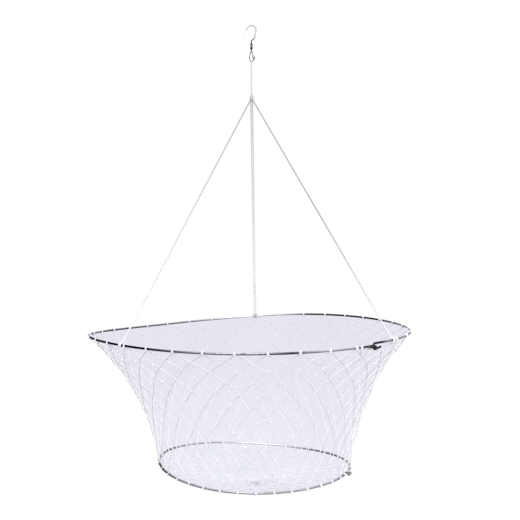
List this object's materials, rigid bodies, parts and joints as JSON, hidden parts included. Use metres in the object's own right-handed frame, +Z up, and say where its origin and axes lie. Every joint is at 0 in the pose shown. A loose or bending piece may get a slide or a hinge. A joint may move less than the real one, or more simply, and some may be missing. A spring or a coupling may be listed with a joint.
{
  "type": "crab hoop net",
  "caption": "Collapsible crab hoop net: large steel hoop over a smaller one, knotted twine netting gathered at the bottom, cord bridle, wire snap, barrel swivel and hanging hook.",
  "frame": {"origin": "The point under the crown of the hanging hook's bend that bears on whatever holds the net up.", "axes": "+Z is up, along the line from the net to the hook. +Y points away from the front of the net, square to the plane of the hook's bend. +X is to the right, seen from the front."},
  "size_m": [0.7717, 0.7693, 1.1123],
  "materials": {
    "hook_wire": "bright plated spring wire",
    "snap_wire": "bright plated spring wire",
    "swivel_metal": "black nickel over brass",
    "hoop_steel": "dull zinc over round steel rod",
    "bridle_cord": "braided white cord",
    "net_twine": "twisted white twine, knotted"
  },
  "bodies": {
    "hook": {"hanging_hook": "hook_wire"},
    "swivel_top": {"swivel_top_eye": "swivel_metal", "swivel_barrel": "swivel_metal"},
    "swivel_bottom": {"swivel_bottom_eye": "swivel_metal"},
    "snap": {"snap_body": "snap_wire"},
    "latch": {"snap_latch": "snap_wire"},
    "bridle_head": {"hanging_loop": "bridle_cord", "apex_knot": "bridle_cord", "bridle_leg_left": "bridle_cord", "bridle_leg_right": "bridle_cord", "bridle_leg_rear_left": "bridle_cord", "bridle_leg_rear_right": "bridle_cord"},
    "top_ring_body": {"top_ring": "hoop_steel", "bridle_hitch_left": "bridle_cord", "bridle_hitch_right": "bridle_cord", "bridle_hitch_rear": "bridle_cord", "side_netting": "net_twine"},
    "bottom_ring_body": {"bottom_ring": "hoop_steel", "bottom_netting": "net_twine", "gathered_meshes": "net_twine", "gather_cord": "net_twine"}
  },
  "joints": [
    {"name": "swivel_swing", "type": "hinge", "parent": "hook", "child": "swivel_top", "pos_m": [0, 0, -0.04523], "axis": [0, 1, 0], "range_deg": [-60, 60]},
    {"name": "swivel_turn", "type": "hinge", "parent": "swivel_top", "child": "swivel_bottom", "pos_m": [0, 0, -0.05293], "axis": [0, 0, 1], "continuous": true},
    {"name": "snap_swing", "type": "hinge", "parent": "swivel_bottom", "child": "snap", "pos_m": [0, 0, -0.06303], "axis": [0, 1, 0], "range_deg": [-45, 45]},
    {"name": "snap_latch_open", "type": "hinge", "parent": "snap", "child": "latch", "pos_m": [0.0021, 0, -0.06413], "axis": [0, 1, 0], "range_deg": [0, 16], "stiffness_Nm_per_rad": 0.01},
    {"name": "bridle_swing", "type": "hinge", "parent": "snap", "child": "bridle_head", "pos_m": [0, 0, -0.08571], "axis": [1, 0, 0], "range_deg": [-75, 75]},
    {"name": "bridle_slack", "type": "slide", "parent": "bridle_head", "child": "top_ring_body", "axis": [0, 0, 1], "range_m": [0, 0.5], "deforming": ["bridle_leg_left", "bridle_leg_right", "bridle_leg_rear_left", "bridle_leg_rear_right"]},
    {"name": "net_collapse", "type": "slide", "parent": "top_ring_body", "child": "bottom_ring_body", "axis": [0, 0, 1], "range_m": [0, 0.32], "deforming": ["side_netting"]}
  ]
}
